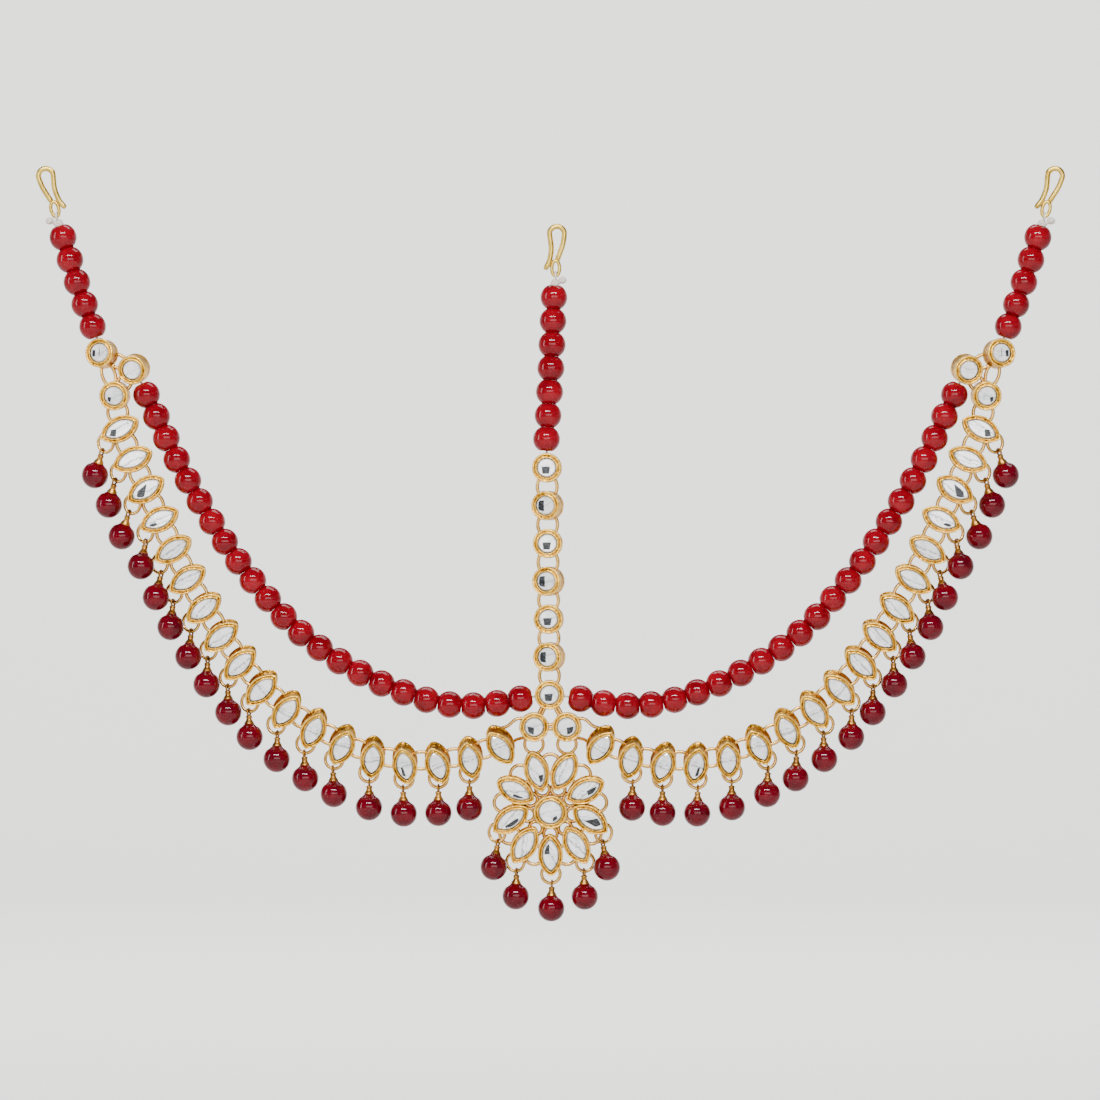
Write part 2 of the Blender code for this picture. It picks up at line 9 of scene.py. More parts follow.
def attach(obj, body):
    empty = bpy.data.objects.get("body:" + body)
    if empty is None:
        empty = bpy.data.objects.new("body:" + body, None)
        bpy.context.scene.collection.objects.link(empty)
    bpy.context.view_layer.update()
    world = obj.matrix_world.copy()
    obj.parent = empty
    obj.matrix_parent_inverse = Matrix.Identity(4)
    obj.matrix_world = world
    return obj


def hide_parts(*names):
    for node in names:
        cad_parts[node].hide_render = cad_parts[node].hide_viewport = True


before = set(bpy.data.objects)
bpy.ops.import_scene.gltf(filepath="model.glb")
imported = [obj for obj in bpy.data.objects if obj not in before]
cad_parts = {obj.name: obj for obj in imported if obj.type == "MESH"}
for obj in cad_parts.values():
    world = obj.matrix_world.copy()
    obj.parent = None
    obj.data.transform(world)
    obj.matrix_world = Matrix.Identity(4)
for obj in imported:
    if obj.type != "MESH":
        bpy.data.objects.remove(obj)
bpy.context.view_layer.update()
print("frame loaded")

# Shapes are worked out in millimetres in the headpiece's own plane: x to the right, z up and
# -y to the front. makePiece moves them to their place and turns them into metres.
planeShift = Matrix.Translation((-1.5, 0, 0))    # the headpiece's plane of symmetry
flip = Matrix.Scale(-1, 4, (1, 0, 0))
scatter = random.Random(5)


# camera, in metres, straight in front of the headpiece
camera = {
    "centre": (-0.0016, 0.0, -0.0738),
    "distance": 1.3,
    "seenWidth": 0.253,
    "sensor": 36.0,
}


def makeCamera():
    data = bpy.data.cameras.new("camera")
    data.sensor_width = camera["sensor"]
    data.lens = camera["sensor"] * camera["distance"] / camera["seenWidth"]
    made = bpy.data.objects.new("camera", data)
    made.location = Vector(camera["centre"]) - Vector((0, camera["distance"], 0))
    made.rotation_euler = (math.radians(90), 0, 0)
    bpy.context.scene.collection.objects.link(made)
    bpy.context.scene.camera = made


makeCamera()


# shader nodes written as expressions
class Signal:
    def __init__(self, tree, socket):
        self.tree = tree
        self.socket = socket

    def maths(self, operation, first, second):
        made = self.tree.nodes.new("ShaderNodeMath")
        made.operation = operation
        plug(self.tree, made.inputs[0], first)
        plug(self.tree, made.inputs[1], second)
        return Signal(self.tree, made.outputs[0])

    def __add__(self, other):
        return self.maths("ADD", self, other)

    def __radd__(self, other):
        return self.maths("ADD", other, self)

    def __sub__(self, other):
        return self.maths("SUBTRACT", self, other)

    def __rsub__(self, other):
        return self.maths("SUBTRACT", other, self)

    def __mul__(self, other):
        return self.maths("MULTIPLY", self, other)

    def __rmul__(self, other):
        return self.maths("MULTIPLY", other, self)


def plug(tree, target, value):
    if isinstance(value, Signal):
        tree.links.new(value.socket, target)
    else:
        target.default_value = value


class Finish:
    def __init__(self, name, **constants):
        self.material = bpy.data.materials.new(name)
        self.material.use_nodes = True
        self.tree = self.material.node_tree
        self.shader = self.tree.nodes["Principled BSDF"]
        self.feed(**constants)

    def node(self, kind, settings=None, output=0, **values):
        made = self.tree.nodes.new("ShaderNode" + kind)
        for key, value in (settings or {}).items():
            setattr(made, key, value)
        for socket, value in values.items():
            plug(self.tree, made.inputs[socket.replace("_", " ")], value)
        return Signal(self.tree, made.outputs[output])

    def noise(self, size, detail=2.0, stretch=(1, 1, 1)):    # size in millimetres
        where = self.node("TexCoord", output="Object")
        if stretch != (1, 1, 1):
            where = self.vector("MULTIPLY", where, stretch)
        return self.node("TexNoise", Vector=where, Scale=1000 / size, Detail=detail)

    def vector(self, operation, first, second):
        made = self.tree.nodes.new("ShaderNodeVectorMath")
        made.operation = operation
        plug(self.tree, made.inputs[0], first)
        plug(self.tree, made.inputs[1], second)
        return Signal(self.tree, made.outputs[0])

    def blend(self, factor, first, second):
        made = self.tree.nodes.new("ShaderNodeMix")
        made.data_type = "RGBA"
        plug(self.tree, made.inputs[0], factor)
        plug(self.tree, made.inputs[6], first)
        plug(self.tree, made.inputs[7], second)
        return Signal(self.tree, made.outputs[2])

    def between(self, value, low, high):
        return self.node("MapRange", Value=value, From_Min=low, From_Max=high)

    def mark(self, name):
        return self.node("Attribute", {"attribute_name": name}, output=2)

    def ramp(self, value, stops):
        made = self.tree.nodes.new("ShaderNodeValToRGB")
        ends = made.color_ramp.elements
        while len(ends) < len(stops):
            ends.new(0.5)
        for stop, (at, colour) in zip(ends, stops):
            stop.position = at
            stop.color = (*colour, 1)
        plug(self.tree, made.inputs[0], value)
        return Signal(self.tree, made.outputs[0])

    def bump(self, height, strength, depth):    # depth in millimetres
        return self.node(
            "Bump", Height=height, Strength=strength, Distance=depth / 1000
        )

    def feed(self, **links):
        for socket, value in links.items():
            plug(self.tree, self.shader.inputs[socket.replace("_", " ")], value)
        return self.material


# finishes
gold = {
    # the first four colours paint light into the gold: painted shade in grooves and recesses,
    # a painted highlight on the rims, the gold's own colour on the walls
    "paintedGrooveShade": (0.05, 0.035, 0.008),
    "paintedRecessShade": (0.26, 0.100, 0.007),
    "wall": (0.60, 0.300, 0.022),
    "paintedRimLight": (0.94, 0.590, 0.105),
    "hammerSize": 0.75,
    "hammerDepth": 0.5,
    "hammerStrength": 0.8,
    "wearSize": 2.2,
    "grainSize": 0.22,
    "paintedLightShare": 0.8,
    "wearShare": 0.6,
    "hammerShare": 0.95,
    "roughness": (0.20, 0.22),    # the least, and what the grain adds
}
wire = {
    "pale": (0.76, 0.46, 0.13),
    "worn": (0.46, 0.24, 0.045),
    "hook": (0.76, 0.54, 0.11),
    "hookWorn": (0.48, 0.30, 0.035),
    "cap": (0.42, 0.21, 0.045),
    "capDark": (0.16, 0.065, 0.012),
    "scratchSize": 0.5,
    "scratchDepth": 0.012,
}
foil = {
    "bright": (0.95, 0.95, 0.97),
    "cloud": (0.70, 0.72, 0.74),
    # the grey of painted reflections: thin streaks across the stones
    "streak": (0.13, 0.14, 0.14),
    # painted shade towards each stone's girdle
    "edge": (0.40, 0.37, 0.20),
    # the next two colour the painted dark reflections laid on the stones' tables
    "dark": (0.012, 0.014, 0.016),
    "paintedReflectionHaze": (0.075, 0.08, 0.09),
    "cloudSize": 1.5,
    "wispSize": 0.4,
    "hazeSize": 0.7,
    "streaks": ((0.0, 0.24), (0.5, 0.08)),    # the place across the stone, and the width
    "wispDepth": 0.04,
}
glass = {
    "bead": (0.235, 0.0002, 0.007),
    "beadDeep": (0.13, 0.0001, 0.004),
    "drop": (0.13, 0.0002, 0.006),
    "dropDeep": (0.065, 0.0001, 0.004),
    "edge": (0.95, 0.62, 0.64, 1),
    "cloudSize": 4.0,
    "waveSize": 0.8,
    "waveDepth": 0.02,
}
cotton = {
    "white": (0.72, 0.67, 0.61),
    "shade": (0.30, 0.24, 0.20),
    "fibreSize": 0.16,
    "fibreDepth": 0.06,
}


def goldFinish():
    made = Finish("hammered gold", Metallic=1.0)
    # the profile's mark paints light: painted shade in the grooves and recesses, a painted
    # highlight on the rims; random wear patches and dent mottling are mixed in
    paintedLight = made.mark("paintedLight")
    patches = made.noise(gold["wearSize"], detail=3.0)
    dents = made.noise(gold["hammerSize"], detail=1.0)
    worn = (patches - 0.5) * gold["wearShare"]
    wearAndPaintedLight = paintedLight * gold["paintedLightShare"] + worn + (dents - 0.5) * gold["hammerShare"]
    colour = made.ramp(wearAndPaintedLight, [
        (0.0, gold["paintedGrooveShade"]), (0.22, gold["paintedRecessShade"]), (0.52, gold["wall"]),
        (0.9, gold["paintedRimLight"]),
    ])
    grain = made.noise(gold["grainSize"], detail=2.0)
    relief = dents * 0.8 + grain * 0.2
    least, added = gold["roughness"]
    roughness = least + added * grain
    normal = made.bump(relief, gold["hammerStrength"], gold["hammerDepth"])
    return made.feed(Base_Color=colour, Roughness=roughness, Normal=normal)


def wireFinish(name, bright, worn, roughness):
    made = Finish(name, Metallic=1.0)
    patches = made.noise(gold["wearSize"], detail=3.0)
    colour = made.blend(made.between(patches, 0.35, 0.75), (*bright, 1), (*worn, 1))
    scratches = made.noise(wire["scratchSize"], detail=3.0)
    normal = made.bump(scratches, 0.3, wire["scratchDepth"])
    return made.feed(
        Base_Color=colour, Roughness=roughness + 0.15 * scratches, Normal=normal
    )


def foilFinish():
    made = Finish(
        "foiled glass", Metallic=0.25, Coat_Weight=1.0, Coat_Roughness=0.03, IOR=1.52
    )
    cloud = made.noise(foil["cloudSize"], detail=3.0)
    wisp = made.noise(foil["wispSize"], detail=4.0)
    base = made.blend(
        made.between(cloud, 0.42, 0.68), (*foil["bright"], 1), (*foil["cloud"], 1)
    )
    chance = made.mark("chance")
    bend = (cloud - 0.5) * 0.9 + (wisp - 0.5) * 0.3
    # painted reflections: thin grey streaks across each stone
    for offset, width in foil["streaks"]:
        line = made.mark("across") + bend + (offset + (chance - 0.5) * 0.6)
        thin = 1 - made.between(line.maths("ABSOLUTE", line, 0.0), 0.0, width)
        broken = thin * made.between(wisp, 0.37, 0.50) * made.mark("streak")
        base = made.blend(broken, base, (*foil["streak"], 1))
    # painted shade: the stone turns olive grey towards its girdle, where the edge mark is
    # high
    paintedRimLight = made.between(made.mark("edge"), 0.55, 1.0)
    base = made.blend(paintedRimLight * 0.8, base, (*foil["edge"], 1))
    normal = made.bump(wisp, 0.25, foil["wispDepth"])
    return made.feed(Base_Color=base, Roughness=0.08 + 0.15 * wisp, Normal=normal)


# a painted reflection: near-black with a faint haze, for the plates laid on the stones'
# tables
def paintedReflectionFinish():
    made = Finish("painted dark reflection", Specular_IOR_Level=0.3, IOR=1.52)
    haze = made.noise(foil["hazeSize"], detail=4.0, stretch=(1, 1, 2))
    colour = made.blend(
        made.between(haze, 0.45, 0.8), (*foil["dark"], 1), (*foil["paintedReflectionHaze"], 1)
    )
    return made.feed(Base_Color=colour, Roughness=0.15 + 0.15 * haze)


def glassFinish(name, bright, deep, edge):    # edge is how strong its pale outline is
    made = Finish(
        name, IOR=1.45, Coat_Weight=0.0, Specular_IOR_Level=0.3,
        Subsurface_Weight=0.2, Subsurface_Scale=0.0015, Subsurface_Radius=(1.0, 0.05, 0.04),
        Sheen_Weight=edge, Sheen_Roughness=0.25, Sheen_Tint=glass["edge"],
    )
    cloud = made.noise(glass["cloudSize"], detail=3.0)
    colour = made.blend(made.between(cloud, 0.3, 0.7), (*bright, 1), (*deep, 1))
    waves = made.noise(glass["waveSize"], detail=2.0)
    normal = made.bump(waves, 0.03, glass["waveDepth"])
    return made.feed(Base_Color=colour, Roughness=0.03 + 0.05 * cloud, Normal=normal)


def cottonFinish():
    made = Finish("cotton thread", Sheen_Weight=0.3)
    fibre = made.noise(cotton["fibreSize"], detail=4.0)
    # painted shade: the fibre noise darkens the creases between the fibres
    light = made.between(fibre, 0.32, 0.58)
    colour = made.blend(light, (*cotton["shade"], 1), (*cotton["white"], 1))
    normal = made.bump(fibre, 0.6, cotton["fibreDepth"])
    return made.feed(Base_Color=colour, Roughness=0.75 + 0.2 * fibre, Normal=normal)


hammeredGold = goldFinish()
paleWire = wireFinish("pale gold wire", wire["pale"], wire["worn"], 0.18)
hookWire = wireFinish("hook wire", wire["hook"], wire["hookWorn"], 0.22)
capGold = wireFinish("cap gold", wire["cap"], wire["capDark"], 0.28)
foiledGlass = foilFinish()
paintedDarkReflection = paintedReflectionFinish()
beadGlass = glassFinish("red bead glass", glass["bead"], glass["beadDeep"], 0.15)
dropGlass = glassFinish("dark red drop glass", glass["drop"], glass["dropDeep"], 0.06)
cottonThread = cottonFinish()
print("finishes made")


# routes, the same as the solids'
def smoothPath(points, samples=24):
    ends = [2 * points[0] - points[1], *points, 2 * points[-1] - points[-2]]
    path = []
    for before, start, end, after in zip(ends, ends[1:], ends[2:], ends[3:]):
        for step in range(samples):
            t = step / samples
            bend = (2 * before - 5 * start + 4 * end - after) * t**2
            twist = (3 * start - before - 3 * end + after) * t**3
            path.append((2 * start + (end - before) * t + bend + twist) / 2)
    return [*path, points[-1]]


def pathLength(path):
    return sum((end - start).length for start, end in zip(path, path[1:]))


def pointAlong(path, distance):
    if distance < 0:
        way = (path[1] - path[0]).normalized()
        return path[0] + way * distance, way
    for start, end in zip(path, path[1:]):
        span = (end - start).length
        if distance <= span:
            return start.lerp(end, distance / span), (end - start).normalized()
        distance -= span
    way = (path[-1] - path[-2]).normalized()
    return path[-1] + way * distance, way


def inPlane(*pairs):
    return [Vector((x, 0, z)) for x, z in pairs]


def onLeft(points):
    return [Vector((-point.x, point.y, point.z)) for point in points]


def sideways(way):
    return Vector((-way.z, 0, way.x))


def turned(angle):    # anticlockwise as seen from the front
    return Matrix.Rotation(-angle, 4, "Y")


def shifted(vector):
    return Matrix.Translation(vector)


# shapes
class Shape:    # closed bodies with a finish and a painted-light tone for every face and corner
    def __init__(self):
        self.points = []
        self.faces = []
        self.looks = []
        self.smooth = []
        self.marks = []

    def add(self, rings, finish, paintedLightLevels, smooth=True, closed=False, marks=None):
        first = len(self.points)
        count = len(rings[0])
        for index, ring in enumerate(rings):
            for number, point in enumerate(ring):
                self.points.append(Vector(point))
                mark = {"paintedLight": paintedLightLevels[index]}
                if marks:
                    mark.update(marks[index][number])
                self.marks.append(mark)
        spans = len(rings) if closed else len(rings) - 1
        for index in range(spans):
            here = first + index * count
            there = first + (index + 1) % len(rings) * count
            for number in range(count):
                following = (number + 1) % count
                self.faces.append(
                    (here + number, here + following, there + following, there + number)
                )
                self.looks.append(finish)
                self.smooth.append(smooth)
        if not closed:
            self.cap(list(range(first, first + count)), finish)
            last = first + (len(rings) - 1) * count
            self.cap(list(range(last, last + count)), finish)
        return self

    def cap(self, corners, finish):
        self.faces.append(tuple(corners))
        self.looks.append(finish)
        self.smooth.append(False)

    def join(self, other, matrix=None):
        first = len(self.points)
        self.points += [matrix @ point if matrix else point for point in other.points]
        self.faces += [tuple(first + corner for corner in face) for face in other.faces]
        self.looks += other.looks
        self.smooth += other.smooth
        self.marks += other.marks
        return self


def makePiece(name, shape, body, replaced, place=None):
    mesh = bpy.data.meshes.new(name)
    whole = planeShift @ place if place else planeShift
    mesh.from_pydata([whole @ point * 0.001 for point in shape.points], [], shape.faces)
    finishes = []
    for finish in shape.looks:
        if finish not in finishes:
            finishes.append(finish)
            mesh.materials.append(finish)
    mesh.polygons.foreach_set("material_index", [finishes.index(f) for f in shape.looks])
    mesh.polygons.foreach_set("use_smooth", shape.smooth)
    # one of these marks is the gold's painted light and shade
    for kind in ("paintedLight", "across", "edge", "chance", "streak"):
        values = [mark.get(kind, 0.0) for mark in shape.marks]
        if any(values):
            mesh.attributes.new(kind, "FLOAT", "POINT").data.foreach_set("value", values)
    bm = bmesh.new()
    bm.from_mesh(mesh)
    bmesh.ops.recalc_face_normals(bm, faces=bm.faces)
    bm.to_mesh(mesh)
    bm.free()
    made = bpy.data.objects.new(name, mesh)
    bpy.context.scene.collection.objects.link(made)
    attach(made, body)
    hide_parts(*replaced)
    return made


def tube(points, width, finish, sides=10, closed=False, paintedLight=1.0, swell=None):
    rings = []
    count = len(points)
    normal = None
    for index, point in enumerate(points):
        before = points[index - 1] if index or closed else point
        after = points[(index + 1) % count] if index < count - 1 or closed else point
        way = (after - before).normalized()
        if normal is None:
            guide = Vector((0, 1, 0)) if abs(way.y) < 0.9 else Vector((1, 0, 0))
            normal = way.cross(guide).normalized()
        normal = (normal - way * normal.dot(way)).normalized()
        other = way.cross(normal)
        reach = width / 2 * (swell[index] if swell else 1)
        turns = [math.tau * step / sides for step in range(sides)]
        rings.append([
            point + (normal * math.cos(turn) + other * math.sin(turn)) * reach
            for turn in turns
        ])
    return Shape().add(rings, finish, [paintedLight] * count, closed=closed)


def ovalRing(wide, tall, width, finish, count=28, sides=8):    # stands in the x-z plane
    turns = [math.tau * step / count for step in range(count)]
    points = [Vector((wide * math.cos(turn), 0, tall * math.sin(turn))) for turn in turns]
    return tube(points, width, finish, sides=sides, closed=True)


def turnedBody(profile, finish, sides=24, paintedLightLevels=None):    # profile of (reach, height) pairs
    rings = []
    for reach, up in profile:
        rings.append([
            Vector((
                reach * math.cos(math.tau * step / sides),
                reach * math.sin(math.tau * step / sides),
                up,
            ))
            for step in range(sides)
        ])
    return Shape().add(rings, finish, paintedLightLevels or [1.0] * len(profile))


# settings: a gold cup with a foiled stone
setting = {
    "depth": 4.0,
    "roundWidth": 6.8,
    "rosetteCentreWidth": 7.8,
    "length": 10.0,
    "width": 5.8,
    "tipSoftness": 0.16,
    "backSoftness": 1.0,
    "stoneSoftness": 0.4,
    "stoneInset": {"marquise": 1.02, "round": 1.2},
    "crown": 0.34,
    "crownRise": 0.42,
    "girdleDepth": -1.52,
    "footDepth": -1.0,
    "footShare": 0.98,
    "plateShare": 0.93,    # the dark plates, painted reflections, stay inside this share of the stone's table
    "plateBack": 0.1,
    "plateFront": 0.05,
    "streakSpan": 1.7,
    "streakStrength": {"marquise": 0.9, "round": 0.45},
    "outlineSteps": 40,
    "facets": 16,
}
# how far in from the outer edge, how far back from the middle, and the gold's painted light:
# low for painted shade, high for a painted highlight
marquiseProfile = [
    (0.55, 2.0, 0.6), (0.14, 1.98, 0.75), (0.0, 1.84, 1.0), (0.0, 1.52, 0.95),
    (0.16, 1.36, 0.55), (0.42, 1.05, 0.45), (0.46, 0.3, 0.62), (0.40, -0.6, 0.75),
    (0.18, -1.15, 0.8), (0.02, -1.48, 0.95), (0.0, -1.76, 1.05), (0.09, -1.94, 1.15),
    (0.22, -2.0, 1.15), (0.34, -1.92, 0.8), (0.46, -1.70, 0.42), (0.58, -1.66, 0.5),
    (0.72, -1.80, 0.8), (0.82, -1.93, 1.05), (0.90, -1.92, 0.95), (0.96, -1.74, 0.3),
    (0.99, -1.50, 0.0), (1.10, -1.46, 0.0),
]
roundProfile = [
    (0.5, 2.0, 0.6), (0.16, 1.98, 0.75), (0.0, 1.84, 0.95), (0.0, 1.4, 0.8),
    (0.10, 0.9, 0.62), (0.12, 0.0, 0.66), (0.08, -0.9, 0.72), (0.02, -1.4, 0.8),
    (0.02, -1.74, 1.0), (0.12, -1.94, 1.1), (0.28, -2.0, 1.1), (0.44, -1.93, 0.8),
    (0.60, -1.74, 0.45), (0.72, -1.72, 0.5), (0.86, -1.86, 0.8), (0.98, -1.95, 1.05),
    (1.07, -1.92, 0.95), (1.13, -1.74, 0.3), (1.16, -1.50, 0.0), (1.28, -1.46, 0.0),
]


def outline(kind, inset, width, softness, count):
    turns = [math.tau * step / count for step in range(count)]
    if kind == "round":
        reach = width / 2 - inset
        return [(reach * math.cos(turn), reach * math.sin(turn)) for turn in turns]
    length = setting["length"]
    arc = (length**2 + width**2) / (4 * width)
    sink = arc - width / 2
    arc -= inset
    tip = math.sqrt(arc**2 - sink**2)
    side = arc - sink
    points = []
    for turn in turns:
        x = tip * math.cos(turn) * (1 - softness * 0.12)
        lens = math.sqrt(max(0, arc**2 - (tip * math.cos(turn)) ** 2)) - sink
        oval = side * abs(math.sin(turn))
        z = lens * (1 - softness) + oval * softness
        points.append((x, math.copysign(z, math.sin(turn))))
    return points


def clipped(polygon, start, end):    # the part to the left of the line
    kept = []
    away = Vector((start[1] - end[1], end[0] - start[0]))
    for here, there in zip(polygon, polygon[1:] + polygon[:1]):
        first = away.dot(Vector(here) - Vector(start))
        second = away.dot(Vector(there) - Vector(start))
        if first >= 0:
            kept.append(here)
        if first * second < 0:
            share = first / (first - second)
            kept.append(tuple(Vector(here).lerp(Vector(there), share)))
    return kept


def stone(kind, width, dark, grain):    # grain is the direction of the thin streaks, which are painted reflections
    shape = Shape()
    chance = scatter.random()
    facets = setting["facets"]
    inset = setting["stoneInset"][kind]
    grain += math.radians(scatter.uniform(-12, 12))
    along, across = math.cos(grain), math.sin(grain)
    girdle = outline(kind, inset, width, setting["stoneSoftness"], facets)
    table = outline(kind, inset + setting["crown"], width, setting["stoneSoftness"], facets)
    foot = [(x * setting["footShare"], z * setting["footShare"]) for x, z in girdle]
    waist = setting["girdleDepth"]
    front = waist - setting["crownRise"]
    rings, marks = [], []
    for points, depth, edge in (
        (foot, setting["footDepth"], 1.0), (girdle, waist, 1.0), (table, front, 0.4),
    ):
        rings.append([Vector((x, depth, z)) for x, z in points])
        marks.append([
            {"across": (z * along - x * across) / setting["streakSpan"], "edge": edge,
             "chance": chance, "streak": setting["streakStrength"][kind]}
            for x, z in points
        ])
    shape.add(rings, foiledGlass, [1, 1, 1], smooth=False, marks=marks)
    # painted reflections: thin dark plates laid just over the table
    for patch in dark:
        scale = max(x for x, _ in table), max(z for _, z in table)
        corners = [(x * scale[0], z * scale[1]) for x, z in patch]
        plate = [(x * setting["plateShare"], z * setting["plateShare"]) for x, z in table]
        for start, end in zip(corners, corners[1:] + corners[:1]):
            plate = clipped(plate, start, end)
        if len(plate) > 2:
            depths = (front + setting["plateBack"], front - setting["plateFront"])
            levels = [[Vector((x, depth, z)) for x, z in plate] for depth in depths]
            shape.add(levels, paintedDarkReflection, [1, 1], smooth=False)
    return shape


def cup(kind, width):
    profile = roundProfile if kind == "round" else marquiseProfile
    softness = setting["tipSoftness"]
    rings, paintedLightLevels = [], []
    for inset, depth, paintedLight in profile:
        steps = setting["outlineSteps"]
        rounder = setting["backSoftness"] * max(0, depth) / setting["depth"]
        points = outline(kind, inset, width, softness + 0.1 * inset + rounder, steps)
        rings.append([Vector((x, depth, z)) for x, z in points])
        paintedLightLevels.append(paintedLight)
    return Shape().add(rings, hammeredGold, paintedLightLevels)


def makeSetting(kind, width=setting["roundWidth"], dark=(), grain=0.3):
    width = width if kind == "round" else setting["width"]
    return cup(kind, width).join(stone(kind, width, dark, grain))


# the bands down each side
band = {
    "count": 18,
    "pitch": 7.57,
    "lean": math.radians(27),
    "leanFirst": 3,
    "leanLast": 12,
    "sway": (4, 0, 9, 1, 8, 6, 6, 6, 8, 2, 2, 8, 3, 12, 15, 9, -3, 6),
    "ringSeat": (-3.0, 1.3, 0.0),
    "ringOutward": 0.7,
    "ringTurn": math.radians(36),
    "ringRadius": 2.15,
    "wire": 0.8,
    "linkWide": 2.28,
    "linkLong": 2.75,
    "linkBack": 1.0,
    "linkWire": 0.86,
    "endLinkWide": 1.5,
    "stapleWire": 0.6,
    "stapleInward": 1.9,
    "clearance": 0.3,
}
endRounds = inPlane((103.2, -28.6), (95.8, -32.2), (100.2, -38.3))
endRoundTurns = ((-16, -4), (-12, 10), (-4, 4))    # degrees to the side, degrees up
bandRoute = inPlane(
    (99.0, -46.0), (89.8, -66.9), (80.2, -86.2), (66.4, -105.5), (48.0, -118.4),
    (32.8, -122.8), (18.5, -121.4), (11.6, -118.6), (8.0, -116.6),
)
# The dark reflections of the stones: corners in shares of the stone's half length and width
kite = [(-0.9, -0.35), (-0.5, -0.85), (-0.2, 0.15), (-0.55, 0.45)]
triangle = [(-0.9, -0.45), (-0.35, -0.8), (0.3, 0.65), (-0.6, 0.4)]
tip = [(-0.85, -0.6), (-0.25, -0.6), (-0.35, -0.2), (-0.8, -0.05)]
sliver = [(-0.8, 0.05), (-0.1, 0.25), (0.0, 0.6), (-0.7, 0.55)]
leftQuad = [(-0.88, -0.55), (-0.12, -0.7), (-0.12, 0.65), (-0.85, 0.6)]
smallLeft = [(-0.85, -0.4), (-0.5, -0.5), (-0.45, 0.3), (-0.85, 0.35)]
lineLeft = [(0.02, -0.45), (0.1, -0.45), (0.1, 0.6), (0.02, 0.6)]
lowQuad = [(-0.5, -0.75), (0.3, -0.75), (0.45, 0.15), (-0.62, 0.12)]
lowLeftQuad = [(-0.7, -0.75), (-0.05, -0.9), (0.0, -0.05), (-0.85, 0.1)]
lowRightQuad = [(0.05, -0.9), (0.75, -0.75), (0.85, 0.1), (0.0, -0.05)]
cornerLeft = [(-0.75, -0.6), (-0.4, -0.8), (-0.3, -0.15), (-0.75, -0.1)]
sideBandDark = {0: [kite], 2: [triangle], 3: [tip], 14: [sliver]}


def bandLean(number):    # the settings lean further to the front towards the middle
    share = (number - band["leanFirst"]) / (band["leanLast"] - band["leanFirst"])
    return band["lean"] * min(1, max(0, share))


def bandFrames():
    path = smoothPath(onLeft(bandRoute))
    frames = []
    for index in range(band["count"]):
        place, way = pointAlong(path, index * band["pitch"])
        angle = math.atan2(way.z, way.x) + math.pi / 2 + math.radians(band["sway"][index])
        lean = Matrix.Rotation(bandLean(index), 4, "X")
        frames.append(shifted(place) @ lean @ turned(angle))
    return frames


def ringFrame(settingFrame, rosetteRadius=10.0):
    seat = settingFrame @ Vector(band["ringSeat"])
    flatness = (settingFrame.to_3x3() @ Vector((1, 0, 0))).x
    outward = math.copysign(min(1, abs(seat.x) / rosetteRadius), seat.x)
    drop = band["wire"] / 2 - band["ringRadius"]
    hung = Vector((outward * band["ringOutward"], 0, drop))
    spin = band["ringTurn"] * abs(flatness) * math.copysign(1, outward)
    return shifted(seat + hung) @ Matrix.Rotation(spin, 4, "Z")


def jumpRing():
    return ovalRing(band["ringRadius"], band["ringRadius"], band["wire"], paleWire)


def joinRing(first, second, wide=band["linkWide"], lean=0.0):    # leans about its long axis
    way = (second - first).normalized()
    angle = math.atan2(way.z, way.x) - math.pi / 2
    ring = ovalRing(wide, band["linkLong"], band["linkWire"], paleWire)
    tilt = Matrix.Rotation(math.atan(math.tan(lean) * way.x), 4, way)
    place = shifted((first + second) / 2) @ tilt @ shifted((0, band["linkBack"], 0))
    return Shape().join(ring, place @ turned(angle))


def staple(point, way, heldWire, matrix=None):
    stapleWire, clearance = band["stapleWire"], band["clearance"]
    gap = heldWire / 2 + clearance + stapleWire / 2
    side = sideways(way) * gap
    root = Vector((0, setting["depth"] / 2 - stapleWire, 0))
    crest = Vector((0, setting["depth"] / 2 + clearance + heldWire / 2 + gap, 0))
    flat = Vector((point.x, 0, point.z))
    path = [flat + side + root, flat + side * 0.9 + crest, flat - side * 0.9 + crest,
            flat - side + root]
    bent = tube(smoothPath(path, 6), stapleWire, paleWire, sides=8)
    return Shape().join(bent, matrix or Matrix())


def tailStaple(target, end):
    inward = (target - end).normalized()
    return staple(target - inward * band["stapleInward"], inward, 0.5)


def makeBand(dark, roundDark):
    frames = bandFrames()
    top, inner, low = onLeft(endRounds)
    shape = Shape()
    for number, (place, (yaw, pitch)) in enumerate(zip((top, inner, low), endRoundTurns)):
        lean = Matrix.Rotation(math.radians(yaw), 4, "Z") @ Matrix.Rotation(
            math.radians(pitch), 4, "X"
        )
        shape.join(makeSetting("round", dark=roundDark[number]), shifted(place) @ lean)
    for number, place in enumerate(frames):
        grain = math.pi / 2 if number > 8 else 0.0
        shape.join(makeSetting("marquise", dark=dark.get(number, []), grain=grain), place)
    for place in frames[:-1]:
        shape.join(jumpRing(), ringFrame(place))
    for first, second in ((top, low), (top, inner), (inner, low)):
        shape.join(joinRing(first, second, wide=band["endLinkWide"]))
    places = [low, *(place.translation for place in frames)]
    for number, (first, second) in enumerate(zip(places, places[1:])):
        shape.join(joinRing(first, second, lean=bandLean(number - 0.5)))
    shape.join(tailStaple(top, onLeft(endString)[-1]))
    shape.join(tailStaple(inner, onLeft(swagRoute)[0]))
    hold = Vector((0, 0, centre["loopInside"]))
    shape.join(staple(hold, Vector((1, 0, 0)), band["wire"], frames[-1]))
    return shape


